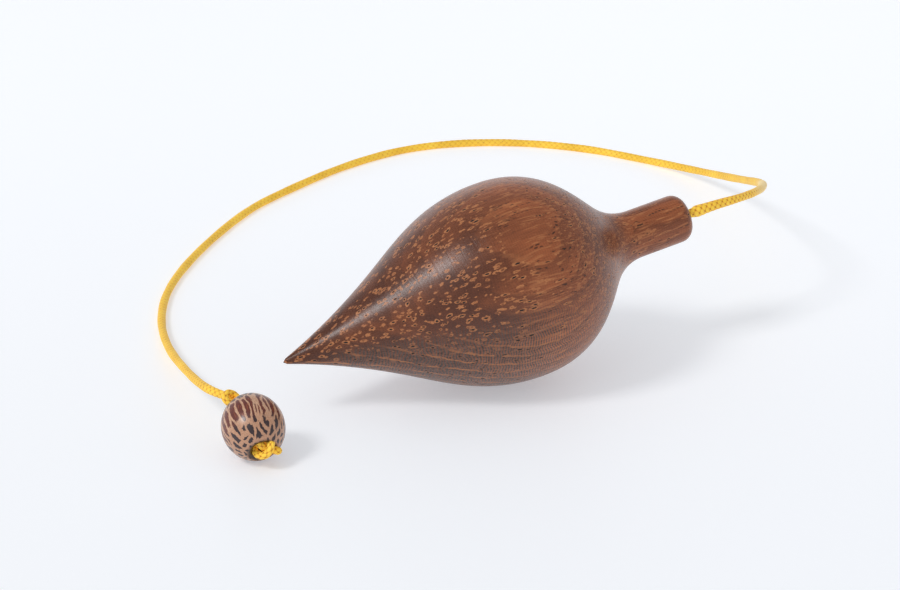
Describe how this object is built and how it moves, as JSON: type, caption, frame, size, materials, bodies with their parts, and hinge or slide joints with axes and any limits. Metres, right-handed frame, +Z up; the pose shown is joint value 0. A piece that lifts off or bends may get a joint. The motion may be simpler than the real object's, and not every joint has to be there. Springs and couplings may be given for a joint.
{
  "type": "wooden dowsing pendulum",
  "caption": "Drop-shaped hardwood bob with a fine tip and a straight neck, on a braided cord that ends in a palm-wood bead held between knots.",
  "frame": {"origin": "on the surface that the bob lies on, under the centre of the bob's bounding box", "axes": "+Z up; +X from the bob's tip to its neck, which leans up by about 10 degrees; the cord's loop lies on the +Y side"},
  "size_m": [0.1202, 0.1138, 0.0325],
  "materials": {
    "bob_wood": "oiled satin hardwood",
    "glue": "cured clear glue",
    "cord": "waxed round braid",
    "bead_wood": "polished palm wood"
  },
  "bodies": {
    "bob": {"bob": "bob_wood", "glue_plug": "glue", "cord_root": "cord"},
    "cord": {"cord": "cord", "upper_knot": "cord", "bead_cord": "cord", "end_knot": "cord", "cord_tail": "cord"},
    "bead": {"bead": "bead_wood"}
  },
  "joints": [
    {"name": "cord_swing", "type": "hinge", "parent": "bob", "child": "cord", "pos_m": [0.03476, 0, 0.02194], "axis": [0, 0, 1], "range_deg": [-45, 45]},
    {"name": "bead_spin", "type": "hinge", "parent": "cord", "child": "bead", "pos_m": [-0.0442, -0.0104, 0.00493], "axis": [-0.0637, -0.9113, -0.4067], "continuous": true}
  ]
}
